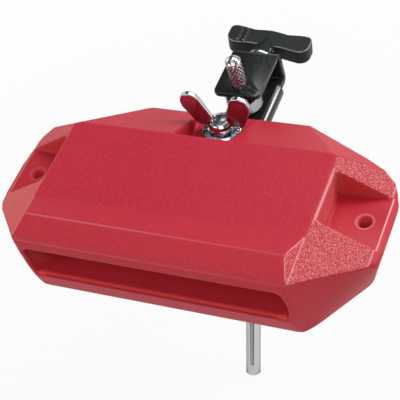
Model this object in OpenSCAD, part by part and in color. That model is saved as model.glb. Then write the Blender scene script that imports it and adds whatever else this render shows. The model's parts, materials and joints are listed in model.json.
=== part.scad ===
// Percussion block with its mount: a moulded block with a sound slot, held by a bracket on a bent rod.
// The origin lies midway between the two ear holes, on the level of the ear floors.
// The slot faces -Y, the bracket stands behind at +Y, and +Z leaves the struck top.

/* [Block] */
// Width of the top panel between the two end slopes
panel_w = 162; // [145:1:180]
// Depth of the panel behind the line of the ear holes
panel_back = 27.4; // [24:0.2:31]
// Depth of the panel in front of the line of the ear holes
panel_front = 29.5; // [26:0.5:34]
// Height of the panel above the ear floors
panel_h = 19.5; // [17:0.5:22]
// Thickness of the block below the ear floors
base_h = 30; // [28:0.5:32]
// Inward lean of the walls below the rim, in degrees
wall_draft = 11; // [4:0.5:14]
// Inward lean of the end walls below the rim, in degrees
end_draft = 18; // [8:0.5:20]
// Inward lean of the cheeks between the end walls and the front, in degrees
cheek_draft = 5; // [2:0.5:8]

/* [Struck bead] */
// Depth of the bead's rear side, from its foot to its crest
bead_run = 17.1; // [13:0.1:20]
// Height of the crest above the panel
bead_rise = 6; // [3:0.1:8]
// Depth of the bead's front side
nose_run = 12.1; // [9:0.1:15]
// Drop of the bead's front side
nose_drop = 4.9; // [2:0.1:6]
// Depth of the lip in front of the nose
lip_run = 2.8; // [1.5:0.1:4]
// Drop of the lip's shoulder
lip_drop = 2.4; // [1:0.1:4]
// How far each end of the crest stands in from the panel's end
bead_end_in = 5; // [3:0.1:8]
// Radius of the crest
crest_r = 5; // [1:0.1:8]
// Radius of the lip's shoulder
shoulder_r = 2.2; // [0.5:0.1:2.6]

/* [Sound slot] */
// Width of the slot's mouth
slot_w = 154; // [120:1:156]
// Height of the slot's mouth
slot_h = 24; // [16:0.5:26]
// Thickness of the roof between the panel and the slot
roof_t = 8; // [6:0.1:10]
// Depth of the chamber from the front of the lip
chamber_d = 81.5; // [60:0.5:85]
// Corner radius of the mouth
mouth_r = 4.5; // [2:0.5:10]
// How far the lower lip leans back at the block's foot
lip_lean = 4.6; // [2:0.1:8]

/* [Ends and ears] */
// Plan length of each end slope
slope_run = 30.3; // [26:0.1:34]
// Drop of each end slope
slope_drop = 18.3; // [15:0.1:19]
// Width of the rim outside the slope
rim_w = 4.9; // [3:0.1:7]
// Drop of the rim outside the slope
rim_drop = 3.2; // [1:0.1:4]
// Width of an ear pocket, front to back
pocket_w = 34.8; // [28:0.2:40]
// Gap from the end of the panel to the pocket's inner wall
pocket_in = 1.1; // [0.5:0.1:3]
// Radius of the pocket's inner corners
pocket_r = 3.6; // [1:0.1:6]
// Distance of each ear hole from the end of the block
hole_in = 14.8; // [10:0.1:18]
// Radius of an ear hole
ear_hole_r = 3.75; // [2.5:0.05:5]

/* [Back] */
// Plan length of the rear slope
rear_run = 35.1; // [32:0.1:38]
// Drop of the rear slope
rear_drop = 19.8; // [18:0.1:22]
// Half width of the rear edge
rear_half = 50.5; // [40:0.5:60]
// Half width of the notch for the wing nut
notch_half = 17.5; // [16:0.1:20]
// Gap between the panel's rear edge and the notch's front wall
notch_in = 0.6; // [0.3:0.1:2]
// Radius of the notch's inner corners
notch_r = 2.5; // [1:0.1:5]
// Thickness of the ledge under the notch
ledge_t = 13.5; // [10:0.5:15]
// Half width of the recess under the ledge
recess_half = 20; // [18.5:0.1:24]

/* [Bolt and wing nut] */
// Radius of the bolt's shank
bolt_r = 4; // [3:0.05:4.5]
// Distance of the bolt from the rear edge of the block
bolt_back = 11; // [9:0.1:12]
// Radius of the bolt's head
bolt_head_r = 9; // [7:0.1:10]
// Height of the bolt's head
bolt_head_h = 4.4; // [3:0.1:5]
// Radius of the flat washer
washer_r = 12; // [9:0.1:13]
// Thickness of the flat washer
washer_t = 2; // [1:0.1:3]
// Radius of the lock washer
lock_r = 7.3; // [6.5:0.1:9]
// Thickness of the lock washer
lock_t = 1.7; // [1.2:0.1:2.5]
// Gap in the lock washer's ring
lock_split = 1.4; // [0.8:0.1:2]
// Radius of the wing nut's hub at its foot
hub_r = 7.4; // [6.5:0.1:9]
// Radius of the wing nut's hub at its top
hub_top_r = 5.8; // [5:0.1:7]
// Height of the wing nut's hub
hub_h = 6.6; // [6:0.1:10]
// Reach of each wing from the bolt's axis
wing_reach = 21.8; // [18:0.1:22.5]
// Height of the wings above the foot of the hub
wing_h = 25; // [20:0.5:30]
// Thickness of each wing
wing_t = 3.4; // [2.4:0.1:4.5]
// Turn of the wing nut at rest, in degrees
wing_turn = 0; // [-20:0.1:20]

/* [Bracket] */
// Width of the bracket
bracket_w = 30; // [25:0.5:33]
// Thickness of the bracket's steel
steel_t = 3; // [2:0.1:4]
// Outer radius of the bracket's bends
bend_r = 5; // [4.2:0.1:7]
// Clear height between the bracket's two plates
bracket_gap = 18; // [16:0.5:22]
// Thickness of the rubber pad between ledge and bracket
pad_t = 3; // [2:0.1:4]
// Distance from the bolt to the rod
bolt_to_rod = 32; // [30:0.5:36]
// How far the upper plate reaches in front of the rod
plate_front = 8.3; // [7:0.1:11]
// Distance from the rod to the outer face of the web
rod_to_web = 31.2; // [27:0.1:36]
// Corner radius of the upper plate
plate_r = 4; // [1:0.1:6]
// Depth of the turned-down sides below the lower plate's top
side_h = 7.6; // [6:0.1:10]
// Distance between the web's outer face and the rear ends of the sides
side_back = 8; // [6:0.1:12]
// Distance from the block's rear edge to the front ends of the sides
side_front = 3.5; // [2:0.1:8]

/* [Rod] */
// Radius of the rod
rod_r = 4.7625; // [4.5:0.0125:5]
// Height of the rod's top above the upper plate
rod_top = 22.8; // [16:0.1:30]
// Height of the rod's domed end
dome_h = 2.6; // [1:0.1:4]
// Length of the rod from the lower plate's top to the corner of its bend
rod_drop = 19.9; // [19:0.1:30]
// Radius of the rod's bend
rod_bend_r = 20; // [15:0.5:25]
// Angle of the rod's bend, in degrees
rod_bend = 31.3; // [10:0.1:45]
// How much the rod's radius swells in its bend
bend_swell = 0.05; // [0.03:0.01:0.2]
// Length of the rod below the corner of its bend
rod_tail = 169; // [120:0.1:260]
// Chamfer at the rod's lower end
rod_chamfer = 1; // [0.5:0.1:2]

/* [Eye bolt and handle] */
// Inner radius of the eye
eye_in_r = 5.9; // [5.7:0.05:6.5]
// Outer radius of the eye
eye_out_r = 11; // [10:0.1:12]
// Thickness of the eye along the rod
eye_t = 9; // [8.4:0.1:11]
// Radius of the eye bolt's shank
eye_shank_r = 4; // [3:0.05:4.2]
// Thickness of the handle's washer
handle_washer_t = 2; // [1:0.1:3]
// Radius of the handle's washer
handle_washer_r = 10; // [8.5:0.1:12]
// Radius of the handle's collar
collar_r = 8.6; // [7.5:0.1:10]
// Length of the handle's collar in front of the crossbar
collar_l = 7.4; // [6:0.1:12]
// Length of the handle's crossbar
bar_l = 53.5; // [45:0.5:70]
// Depth of the crossbar at its ends
bar_end_d = 14.4; // [11:0.1:17]
// Depth of the crossbar at its waists
bar_waist_d = 12; // [9:0.1:13]
// Thickness of the crossbar
bar_t = 10.4; // [7:0.1:12]
// Height of the grip ribs above the crossbar
rib_h = 0.6; // [0.3:0.1:1.2]
// Width of a grip rib
rib_w = 1.5; // [0.8:0.1:2.5]
// Radius of the threaded insert
insert_r = 6; // [5:0.1:6.8]
// Length of the threaded insert
insert_l = 8.6; // [6:0.1:9]
// Turn of the handle at rest, in degrees
handle_turn = 6.5; // [-20:0.1:20]

/* [Fits] */
// Radial clearance of a shaft that turns or slides in its hole
running_fit = 0.08; // [0.02:0.01:0.1]
// Radial clearance of a washer round its bolt
washer_fit = 0.3; // [0.2:0.05:0.5]
// Clearance between flat faces that slide on each other
face_gap = 0.1; // [0.05:0.01:0.3]
// Clearance between the eye and the rod while the handle is tight
eye_gap = 0.3; // [0.2:0.05:0.4]
// How far each cut runs past the surface it opens
overrun = 1; // [0.5:0.1:2]

/* [Hidden] */
$fn = 72;

// Steps in each rounded corner of an outline
arc_steps = 8;

// Places on the block, front to back and bottom to top
panel_half = panel_w / 2;
foot_y = -panel_front;
crest_y = foot_y - bead_run;
nose_y = crest_y - nose_run;
front_y = nose_y - lip_run;
back_y = panel_back + rear_run;
end_x = panel_half + slope_run + rim_w;
crest_z = panel_h + bead_rise;
nose_z = crest_z - nose_drop;
lip_z = nose_z - lip_drop;
slot_top_z = panel_h - roof_t;
slot_foot_z = slot_top_z - slot_h;
rear_z = panel_h - rear_drop;
slope_z = panel_h - slope_drop;
rim_z = slope_z - rim_drop;
base_z = -base_h;
ledge_z = -ledge_t;
chamber_y = front_y + chamber_d;

// Corners of the rim in plan, from the rear edge round one end to the front lip
shoulder_in = 25.2;
shoulder_back = 21.1;
shoulder_z = 2.5;
// How far the panel's rear corners stand in from its ends
corner_in = 2.5;
heel_in = 5.4;
heel_back = 35;
ear_back = 47;
ear_front = 24.4;
cheek_in = 1.5;
rim_corners = [
    [rear_half, back_y],
    [end_x - shoulder_in, back_y - shoulder_back],
    [end_x - heel_in, back_y - heel_back],
    [end_x, back_y - ear_back],
    [end_x, -ear_front],
    [panel_half - cheek_in, front_y],
];

// Lean of the wall that starts at each of these corners
rim_draft = [wall_draft, wall_draft, wall_draft, end_draft, cheek_draft];

// Three corners of the face that twists each cheek inward at its foot
foot_back = 5.4;
foot_out = 0.8;
cheek_twist = [
    [end_x, -ear_front, rim_z],
    [end_x - (rim_z - base_z) * tan(end_draft), foot_back - ear_front, base_z],
    [panel_half + foot_out, front_y + lip_lean, base_z],
];

// Three corners of the slope between the rear slope and an end slope
rear_corner_slope = [
    [panel_half - corner_in, panel_back, panel_h],
    [rear_half, back_y, rear_z],
    [end_x - shoulder_in, back_y - shoulder_back, shoulder_z],
];

// Places of the mount
bolt_y = back_y - bolt_back;
notch_y = panel_back + notch_in;
notch_z = 0;
plate_half = bracket_w / 2;
recess_y = bolt_y - plate_half - overrun - face_gap;
lock_z = notch_z + washer_t;
hub_z = lock_z + lock_t + face_gap;
bolt_top_z = hub_z + hub_h + face_gap;
pad_z = ledge_z - face_gap - pad_t;
lower_z = pad_z - steel_t;
upper_z = pad_z + bracket_gap;
upper_top_z = upper_z + steel_t;
rod_y = bolt_y + bolt_to_rod;
web_y = rod_y + rod_to_web;
eye_z = pad_z + bracket_gap / 2;
eye_y = rod_y + eye_in_r - rod_r - eye_gap;
side_start_y = back_y + side_front;
side_end_y = web_y - side_back;
dome_z = upper_top_z + rod_top;
bend_z = pad_z - rod_drop;
bend_reach = rod_bend_r * tan(rod_bend / 2);
// How far each straight of the rod runs into the bend
bend_lap = 0.5;
handle_y = web_y + handle_washer_t + face_gap;
bar_y = handle_y + collar_l + bar_end_d / 2;
insert_end_y = handle_y + insert_l;
// Width across the bolt's square neck
neck_w = 2 * bolt_r;
// Depth of the blind hole's end behind the insert
insert_end_gap = 1;
// Size of a block that cuts away all that lies beyond a plane
far = 3 * end_x;

// A point of an outline, without its radius
function flat(p) = [p[0], p[1]];

// The direction of a vector, with length 1
function unit(v) = v / norm(v);

// Points of an arc of radius r that rounds the corner b between a and c
function corner_arc(a, b, c, r) = r <= 0 ? [b] :
    let (to_a = unit(a - b), to_c = unit(c - b))
    let (half = acos(to_a * to_c) / 2)
    let (middle = b + unit(to_a + to_c) * r / sin(half))
    let (start = b + to_a * r / tan(half) - middle)
    let (finish = b + to_c * r / tan(half) - middle)
    let (turn = acos(-to_a * to_c) * sign(cross(start, finish)))
    [for (i = [0 : arc_steps]) let (t = turn * i / arc_steps)
        middle + [start.x * cos(t) - start.y * sin(t), start.x * sin(t) + start.y * cos(t)]];

// An outline with each corner [x, y, r] rounded by its own radius
function rounded(path) = [for (i = [0 : len(path) - 1])
    each corner_arc(flat(path[(i + len(path) - 1) % len(path)]), flat(path[i]),
        flat(path[(i + 1) % len(path)]), path[i][2])];

// Half an outline and its mirror image, as one closed outline
function both_sides(half) = concat(half, [for (i = [len(half) - 1 : -1 : 0]) [-half[i][0], half[i][1], half[i][2]]]);

// An outline in x and z, carried along Y from one place to another
module along_y(from, to) {
    translate([0, to, 0])
        rotate([90, 0, 0])
            linear_extrude(height = to - from)
                children();
}

// An outline in y and z, carried along X and centred on the middle plane
module along_x(width) {
    rotate([90, 0, 90])
        linear_extrude(height = width, center = true)
            children();
}

// An outline in x and y, carried up from one height to another
module along_z(from, to) {
    translate([0, 0, from])
        linear_extrude(height = to - from)
            children();
}

// All that lies beyond the plane through a point with the given outward normal
module beyond(point, normal) {
    translate(point)
        rotate([0, acos(normal.z / norm(normal)), atan2(normal.y, normal.x)])
            translate([-far, -far, 0])
                cube([2 * far, 2 * far, far]);
}

// A child and its mirror image across the middle plane
module both_ends() {
    children();
    mirror([1, 0, 0])
        children();
}

// Side view of the block: panel, bead, nose, lips, foot and rear slope
module side_view() {
    polygon(rounded([
        [back_y, rear_z, 0],
        [panel_back, panel_h, 0],
        [foot_y, panel_h, 0],
        [crest_y, crest_z, crest_r],
        [nose_y, nose_z, crest_r],
        [front_y, lip_z, shoulder_r],
        [front_y, slot_foot_z, 0],
        [front_y + lip_lean, base_z, 0],
        [back_y, base_z, 0],
    ]));
}

// Front view of the block: end slopes, rims and the ends of the bead
module front_view() {
    polygon(rounded(both_sides([
        [end_x, base_z, 0],
        [end_x, rim_z, 0],
        [end_x - rim_w, slope_z, 0],
        [panel_half, panel_h, 0],
        [panel_half - bead_end_in, crest_z + overrun, 0],
    ])));
}

// Plan of the block at its rim, carried past the front lip
module rim_plan() {
    last = len(rim_corners) - 1;
    past_lip = rim_corners[last] + unit(rim_corners[last] - rim_corners[last - 1]) * overrun;
    polygon(rounded(both_sides([for (p = concat(rim_corners, [past_lip])) [p.x, p.y, 0]])));
}

// All that lies beyond the plane through three corners, on the side from which they run clockwise
module beyond_corners(corners) {
    beyond(corners[0], cross(corners[2] - corners[0], corners[1] - corners[0]));
}

// The drafted walls of one end: all that lies outside them, below the rim
module outside_draft() {
    for (i = [0 : len(rim_draft) - 1]) {
        a = rim_corners[i];
        b = rim_corners[i + 1];
        out = unit([a.y - b.y, b.x - a.x]) * cos(rim_draft[i]);
        beyond([a.x, a.y, rim_z], [out.x, out.y, -sin(rim_draft[i])]);
    }
}

// The drafted wall behind the rear edge
module behind_back() {
    beyond([0, back_y, rear_z], [0, cos(wall_draft), -sin(wall_draft)]);
}

// The block without its hollows
module block_form() {
    difference() {
        intersection() {
            along_x(2 * end_x)
                side_view();
            along_y(front_y - overrun, back_y)
                front_view();
            along_z(base_z, crest_z)
                rim_plan();
        }
        both_ends() {
            outside_draft();
            beyond_corners(rear_corner_slope);
            beyond_corners(cheek_twist);
        }
        behind_back();
    }
}

// The sound chamber behind the mouth
module chamber() {
    along_y(front_y - overrun, chamber_y)
        polygon(rounded(both_sides([
            [slot_w / 2, slot_foot_z, mouth_r],
            [slot_w / 2, slot_top_z, mouth_r],
        ])));
}

// The pocket over one ear, open to the end
module ear_pocket() {
    inner = panel_half + pocket_in;
    along_z(0, panel_h + overrun)
        polygon(rounded([
            [inner, -pocket_w / 2, pocket_r],
            [end_x + overrun, -pocket_w / 2, 0],
            [end_x + overrun, pocket_w / 2, 0],
            [inner, pocket_w / 2, pocket_r],
        ]));
}

module ear_hole() {
    translate([end_x - hole_in, 0, base_z - overrun])
        cylinder(r = ear_hole_r, h = base_h + 2 * overrun);
}

// The notch in the rear slope, where the wing nut turns
module rear_notch() {
    along_z(notch_z, panel_h + overrun)
        polygon(rounded([
            [notch_half, back_y + overrun, 0],
            [-notch_half, back_y + overrun, 0],
            [-notch_half, notch_y, notch_r],
            [notch_half, notch_y, notch_r],
        ]));
}

// The recess under the ledge, where the bracket's lower plate enters
module ledge_recess() {
    along_z(base_z - overrun, ledge_z)
        polygon(rounded([
            [recess_half, back_y + overrun, 0],
            [-recess_half, back_y + overrun, 0],
            [-recess_half, recess_y, recess_half / 2],
            [recess_half, recess_y, recess_half / 2],
        ]));
}

module block_body() {
    color([0.72, 0.14, 0.22])
        difference() {
            block_form();
            chamber();
            both_ends() {
                ear_pocket();
                ear_hole();
            }
            rear_notch();
            ledge_recess();
            translate([0, bolt_y, ledge_z - overrun])
                cylinder(r = bolt_r + running_fit, h = ledge_t + 2 * overrun);
        }
}

// A flat ring on the bolt
module ring_on_bolt(z, outer, inner, thickness) {
    translate([0, bolt_y, z])
        difference() {
            cylinder(r = outer, h = thickness);
            translate([0, 0, -overrun])
                cylinder(r = inner, h = thickness + 2 * overrun);
        }
}

module bolt_washer() {
    color([0.82, 0.82, 0.84])
        ring_on_bolt(notch_z, washer_r, bolt_r + washer_fit, washer_t);
}

module lock_washer() {
    color([0.6, 0.6, 0.62])
        difference() {
            ring_on_bolt(lock_z, lock_r, bolt_r + washer_fit, lock_t);
            translate([-lock_split / 2, bolt_y, lock_z - overrun])
                cube([lock_split, lock_r + overrun, lock_t + 2 * overrun]);
        }
}

// Outline of one wing, out from the bolt's axis and up from the hub's foot
// Each point is a share of the wing's reach and of its height
wing_share = [
    [0.30, 0.00], [0.66, 0.02], [0.98, 0.56], [1.00, 0.72],
    [0.93, 0.91], [0.74, 1.00], [0.53, 0.96], [0.43, 0.82], [0.24, 0.36], [0.20, 0.22],
];
wing_round_share = [0, 0.12, 0.12, 0.1, 0.14, 0.2, 0.12, 0.08, 0.02, 0];

module wing() {
    along_y(-wing_t / 2, wing_t / 2)
        polygon(rounded([for (i = [0 : len(wing_share) - 1])
            [wing_share[i].x * wing_reach, wing_share[i].y * wing_h, wing_round_share[i] * wing_reach]]));
}

module wing_nut() {
    color([0.85, 0.85, 0.87])
        translate([0, bolt_y, hub_z])
            rotate([0, 0, wing_turn])
                difference() {
                    union() {
                        cylinder(r1 = hub_r, r2 = hub_top_r, h = hub_h);
                        wing();
                        rotate([0, 0, 180])
                            wing();
                    }
                    translate([0, 0, -overrun])
                        cylinder(r = bolt_r + running_fit, h = wing_h + 2 * overrun);
                }
}

module carriage_bolt() {
    color([0.78, 0.78, 0.8])
        translate([0, bolt_y, 0]) {
            translate([0, 0, lower_z])
                cylinder(r = bolt_r, h = bolt_top_z - lower_z);
            translate([-neck_w / 2, -neck_w / 2, lower_z])
                cube([neck_w, neck_w, steel_t]);
            bolt_head();
        }
}

// Domed head below the bracket: the cap of a ball that is as high and as wide as the head
module bolt_head() {
    ball_r = (bolt_head_r * bolt_head_r + bolt_head_h * bolt_head_h) / (2 * bolt_head_h);
    translate([0, 0, lower_z])
        intersection() {
            translate([0, 0, ball_r - bolt_head_h])
                sphere(r = ball_r);
            translate([0, 0, -bolt_head_h])
                cylinder(r = bolt_head_r, h = bolt_head_h);
        }
}

module rubber_pad() {
    color([0.12, 0.12, 0.12])
        difference() {
            along_z(pad_z, pad_z + pad_t)
                lower_plan(back_y);
            translate([0, bolt_y, pad_z - overrun])
                cylinder(r = bolt_r + washer_fit, h = pad_t + 2 * overrun);
        }
}

// Plan of the lower plate: a strip with a round front end about the bolt
module lower_plan(end) {
    translate([0, bolt_y])
        circle(r = plate_half);
    translate([-plate_half, bolt_y])
        square([bracket_w, end - bolt_y]);
}

// Plan of the upper plate, with rounded front corners
module upper_plan() {
    polygon(rounded([
        [plate_half, rod_y - plate_front, plate_r],
        [plate_half, web_y, 0],
        [-plate_half, web_y, 0],
        [-plate_half, rod_y - plate_front, plate_r],
    ]));
}

// Side view of the bent strip: upper plate, web and lower plate
module strip_view() {
    inner_r = bend_r - steel_t;
    polygon(rounded([
        [rod_y - plate_front, upper_top_z, 0],
        [web_y, upper_top_z, bend_r],
        [web_y, lower_z, bend_r],
        [bolt_y - plate_half, lower_z, 0],
        [bolt_y - plate_half, pad_z, 0],
        [web_y - steel_t, pad_z, inner_r],
        [web_y - steel_t, upper_z, inner_r],
        [rod_y - plate_front, upper_z, 0],
    ]));
}

// Cross-section of the lower plate where its sides are turned down
module channel_view() {
    inner_r = bend_r - steel_t;
    polygon(rounded(both_sides([
        [plate_half - steel_t, pad_z - side_h, 0],
        [plate_half, pad_z - side_h, 0],
        [plate_half, pad_z, bend_r],
    ])));
}

// The room inside the turned-down sides
module channel_room() {
    inner_r = bend_r - steel_t;
    polygon(rounded(both_sides([
        [plate_half - steel_t, pad_z - side_h - overrun, 0],
        [plate_half - steel_t, lower_z, inner_r],
    ])));
}

module channel() {
    difference() {
        along_y(side_start_y, side_end_y)
            channel_view();
        along_y(side_start_y - overrun, side_end_y + overrun)
            channel_room();
    }
}

module bracket() {
    color([0.09, 0.09, 0.1])
        difference() {
            union() {
                intersection() {
                    along_x(bracket_w)
                        strip_view();
                    union() {
                        along_z(eye_z, upper_top_z)
                            upper_plan();
                        along_z(lower_z, eye_z)
                            difference() {
                                lower_plan(web_y);
                                translate([-bracket_w, side_start_y])
                                    square([2 * bracket_w, side_end_y - side_start_y]);
                            }
                    }
                }
                channel();
            }
            translate([0, rod_y, lower_z - overrun])
                cylinder(r = rod_r + running_fit, h = upper_top_z - lower_z + 2 * overrun);
            translate([-neck_w / 2, bolt_y - neck_w / 2, lower_z - overrun])
                cube([neck_w, neck_w, steel_t + 2 * overrun]);
            translate([0, web_y + overrun, eye_z])
                rotate([90, 0, 0])
                    cylinder(r = eye_shank_r + running_fit, h = steel_t + 2 * overrun);
        }
}

// Points of a dome of radius r and height h, from its rim to its top
function dome_points(r, h) =
    let (ball = (r * r + h * h) / (2 * h))
    let (half = asin(r / ball))
    [for (i = [0 : arc_steps]) let (t = half * (1 - i / arc_steps))
        [ball * sin(t), ball * cos(t) - ball + h]];

// The rod: a domed upper end, one bend, and a straight tail with a chamfered end
module mounting_rod() {
    upper_l = dome_z - bend_z - bend_reach;
    tail_l = rod_tail - bend_reach;
    color([0.85, 0.85, 0.87])
        translate([0, rod_y, bend_z]) {
            translate([0, 0, bend_reach - bend_lap])
                rotate_extrude()
                    polygon(concat([[0, 0], [rod_r, 0]],
                        [for (p = dome_points(rod_r, dome_h)) [p.x, p.y + upper_l - dome_h + bend_lap]]));
            rod_elbow();
            rotate([-rod_bend, 0, 0])
                translate([0, 0, -rod_tail])
                    rotate_extrude()
                        polygon([
                            [0, 0],
                            [rod_r - rod_chamfer, 0],
                            [rod_r, rod_chamfer],
                            [rod_r, tail_l + bend_lap],
                            [0, tail_l + bend_lap],
                        ]);
        }
}

// The rod's bend: a circle turned about an axis in front of the rod
module rod_elbow() {
    translate([0, -rod_bend_r, bend_reach])
        rotate([0, 90, 0])
            rotate([0, 0, 90 - rod_bend])
                rotate_extrude(angle = rod_bend)
                    translate([rod_bend_r, 0])
                        circle(r = rod_r + bend_swell);
}

module eye_bolt() {
    color([0.75, 0.75, 0.77])
        difference() {
            union() {
                translate([0, eye_y, eye_z - eye_t / 2])
                    cylinder(r = eye_out_r, h = eye_t);
                translate([0, insert_end_y, eye_z])
                    rotate([90, 0, 0])
                        cylinder(r = eye_shank_r, h = insert_end_y - eye_y);
            }
            translate([0, eye_y, eye_z - eye_t / 2 - overrun])
                cylinder(r = eye_in_r, h = eye_t + 2 * overrun);
        }
}

// A ring about the handle's axis, from one place along Y to another
module ring_on_handle(from, to, outer, inner) {
    translate([0, to, eye_z])
        rotate([90, 0, 0])
            difference() {
                cylinder(r = outer, h = to - from);
                translate([0, 0, -overrun])
                    cylinder(r = inner, h = to - from + 2 * overrun);
            }
}

module handle_washer() {
    color([0.7, 0.7, 0.72])
        ring_on_handle(web_y, web_y + handle_washer_t, handle_washer_r, eye_shank_r + washer_fit);
}

module handle_insert() {
    color([0.7, 0.62, 0.4])
        ring_on_handle(handle_y, insert_end_y, insert_r, eye_shank_r + running_fit);
}

// Plan of the crossbar: round ends, a waist on each side of the middle behind, and one wide waist in front
bar_share = [0.1, 0.4, 0.72, 1];
module bar_plan() {
    waist = bar_waist_d / 2;
    tip = bar_end_d / 2;
    half = bar_l / 2;
    polygon(rounded(both_sides([
        [half * bar_share[0], tip, tip],
        [half * bar_share[1], waist, tip],
        [half * bar_share[2], tip, tip],
        [half * bar_share[3], tip, tip / 2],
        [half * bar_share[3], -tip, tip - overrun],
        [half * bar_share[2], -tip, tip],
        [half * bar_share[1], -waist, tip],
    ])));
}

module grip_rib(place) {
    translate([place * bar_l / 2 - rib_w / 2, -bar_end_d / 2 + rib_w, bar_t / 2 - overrun])
        cube([rib_w, bar_end_d - 2 * rib_w, rib_h + overrun]);
}

module t_handle() {
    rib_share = [-0.72, -0.57];
    color([0.1, 0.1, 0.11])
        translate([0, 0, eye_z])
            rotate([0, handle_turn, 0])
                difference() {
                    union() {
                        translate([0, bar_y, 0]) {
                            along_z(-bar_t / 2, bar_t / 2)
                                bar_plan();
                            for (place = rib_share)
                                grip_rib(place);
                        }
                        translate([0, bar_y, 0])
                            rotate([90, 0, 0])
                                cylinder(r1 = bar_t / 2, r2 = collar_r, h = bar_y - handle_y);
                    }
                    translate([0, insert_end_y + insert_end_gap, 0])
                        rotate([90, 0, 0])
                            cylinder(r = insert_r, h = insert_l + insert_end_gap + overrun);
                }
}

block_body();
bolt_washer();
lock_washer();
wing_nut();
carriage_bolt();
rubber_pad();
bracket();
mounting_rod();
eye_bolt();
handle_washer();
handle_insert();
t_handle();
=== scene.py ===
import json
import math

import bmesh
import bpy
import numpy as np
from mathutils import Matrix, Vector


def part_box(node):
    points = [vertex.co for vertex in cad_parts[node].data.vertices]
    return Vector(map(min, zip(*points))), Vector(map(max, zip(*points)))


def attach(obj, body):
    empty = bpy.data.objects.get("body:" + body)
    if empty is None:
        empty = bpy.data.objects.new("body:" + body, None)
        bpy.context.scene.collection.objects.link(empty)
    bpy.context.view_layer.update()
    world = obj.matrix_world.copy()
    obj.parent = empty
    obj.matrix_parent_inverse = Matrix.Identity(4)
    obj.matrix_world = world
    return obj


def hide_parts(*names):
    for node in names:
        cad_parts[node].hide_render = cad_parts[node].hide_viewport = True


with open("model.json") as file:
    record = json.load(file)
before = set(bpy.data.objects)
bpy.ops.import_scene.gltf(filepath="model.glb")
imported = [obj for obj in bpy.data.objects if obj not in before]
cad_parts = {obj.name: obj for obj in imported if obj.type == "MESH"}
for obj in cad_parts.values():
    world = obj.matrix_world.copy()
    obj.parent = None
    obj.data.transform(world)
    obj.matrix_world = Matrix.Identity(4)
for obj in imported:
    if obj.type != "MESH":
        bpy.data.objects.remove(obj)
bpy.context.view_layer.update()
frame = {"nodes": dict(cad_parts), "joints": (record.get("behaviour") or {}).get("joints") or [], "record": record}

# All sizes are in metres
MM = 0.001
TURN = 2 * math.pi

# Places taken from the frame
block_low, block_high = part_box("block_body")
rod_low, rod_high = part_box("mounting_rod")
wing_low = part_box("wing_nut")[0]
bolt_low, bolt_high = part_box("carriage_bolt")
joints = {joint["name"]: joint for joint in frame["joints"]}
mounts = {mount["name"]: mount for mount in frame["record"]["mounts"]}
bolt_y = joints["block_turn"]["pos_m"][1]
ear_hole_x = mounts["ear_holes"]["dims"]["spacing_x_mm"] / 2 * MM
rod_radius = mounts["rod_end"]["dims"]["r_mm"] * MM
rod_tail_way = Vector(mounts["rod_end"]["axis"])

# The struck panel: its height above the ear floors, and half of its length
PANEL_Z = 19.5 * MM
PANEL_END_X = 81 * MM
# The bead in front of the panel: where it starts, its crest, and the slope of its roof in front of the crest
BEAD_BACK_Y = -29.5 * MM
CREST_Y, CREST_Z = -46.6 * MM, 25.5 * MM
BEAD_FALL = 0.405
# How far the end slopes fall for a step outwards, and how far the bead's end facets lean in for a step up
END_FALL = 0.604
FACET_LEAN = 0.716
# The ears' pockets: inner wall, half of the width along y, and outer edge of the floor
POCKET_X = 82.1 * MM
POCKET_HALF_Y = 17.4 * MM
EAR_END_X = 112.5 * MM
# The sound chamber: half of its length, its back, and the top of its front lip
CHAMBER_END_X = 78 * MM
CHAMBER_BACK_Y = 22 * MM
SILL_Z = -11.2 * MM
# Under side of the bracket's lower plate, where the bolt's head bears
PLATE_UNDER_Z = -19.6 * MM
# Vertices of a node that lie closer than this are one
SAME_POINT = 0.004 * MM
# Points round a turned piece, and round the knurled rod
AROUND, AROUND_ROD = 96, 160


# Meshes

def place_in_scene(name, data):
    """A new object in the scene, at the origin."""
    obj = bpy.data.objects.new(name, data)
    bpy.context.scene.collection.objects.link(obj)
    return obj


def points_of(mesh):
    """The places of a mesh's vertices, shape (vertices, 3)."""
    points = np.empty(len(mesh.vertices) * 3, np.float32)
    mesh.vertices.foreach_get("co", points)
    return points.reshape(-1, 3).astype(float)


def move_points(mesh, points):
    """Gives a mesh's vertices new places."""
    mesh.vertices.foreach_set("co", points.astype(np.float32).ravel())
    mesh.update()


def mesh_object(name, verts, faces):
    """A smooth-shaded mesh object at the origin."""
    mesh = bpy.data.meshes.new(name)
    mesh.from_pydata(np.asarray(verts, float).tolist(), [], faces)
    mesh.validate()
    mesh.shade_smooth()
    return place_in_scene(name, mesh)


def inside_out(verts, tris):
    """Whether the volume that the triangles enclose comes out negative."""
    a, b, c = verts[tris].transpose(1, 0, 2)
    return np.einsum("ij,ij->i", a, np.cross(b, c)).sum() < 0


def solid(name, rings):
    """A closed surface from rings of points, shape (rings, points, 3).

    Each ring joins the next by quads. The first and the last ring are closed by a fan about their mean point,
    and all faces are turned over if the volume they enclose comes out negative.
    """
    count, size, _ = rings.shape
    ends = np.stack([rings[0].mean(0), rings[-1].mean(0)])
    verts = np.concatenate([rings.reshape(-1, 3), ends])
    i, j = np.meshgrid(np.arange(count - 1), np.arange(size), indexing="ij")
    k = (j + 1) % size
    quads = np.stack([i * size + j, i * size + k, (i + 1) * size + k, (i + 1) * size + j], -1).reshape(-1, 4)
    edge = np.arange(size)
    after = (edge + 1) % size
    first = np.stack([np.full(size, count * size), after, edge], -1)
    base = (count - 1) * size
    last = np.stack([np.full(size, count * size + 1), base + edge, base + after], -1)
    if inside_out(verts, np.concatenate([quads[:, [0, 1, 2]], quads[:, [0, 2, 3]], first, last])):
        quads, first, last = quads[:, ::-1], first[:, ::-1], last[:, ::-1]
    return mesh_object(name, verts, quads.tolist() + first.tolist() + last.tolist())


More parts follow.
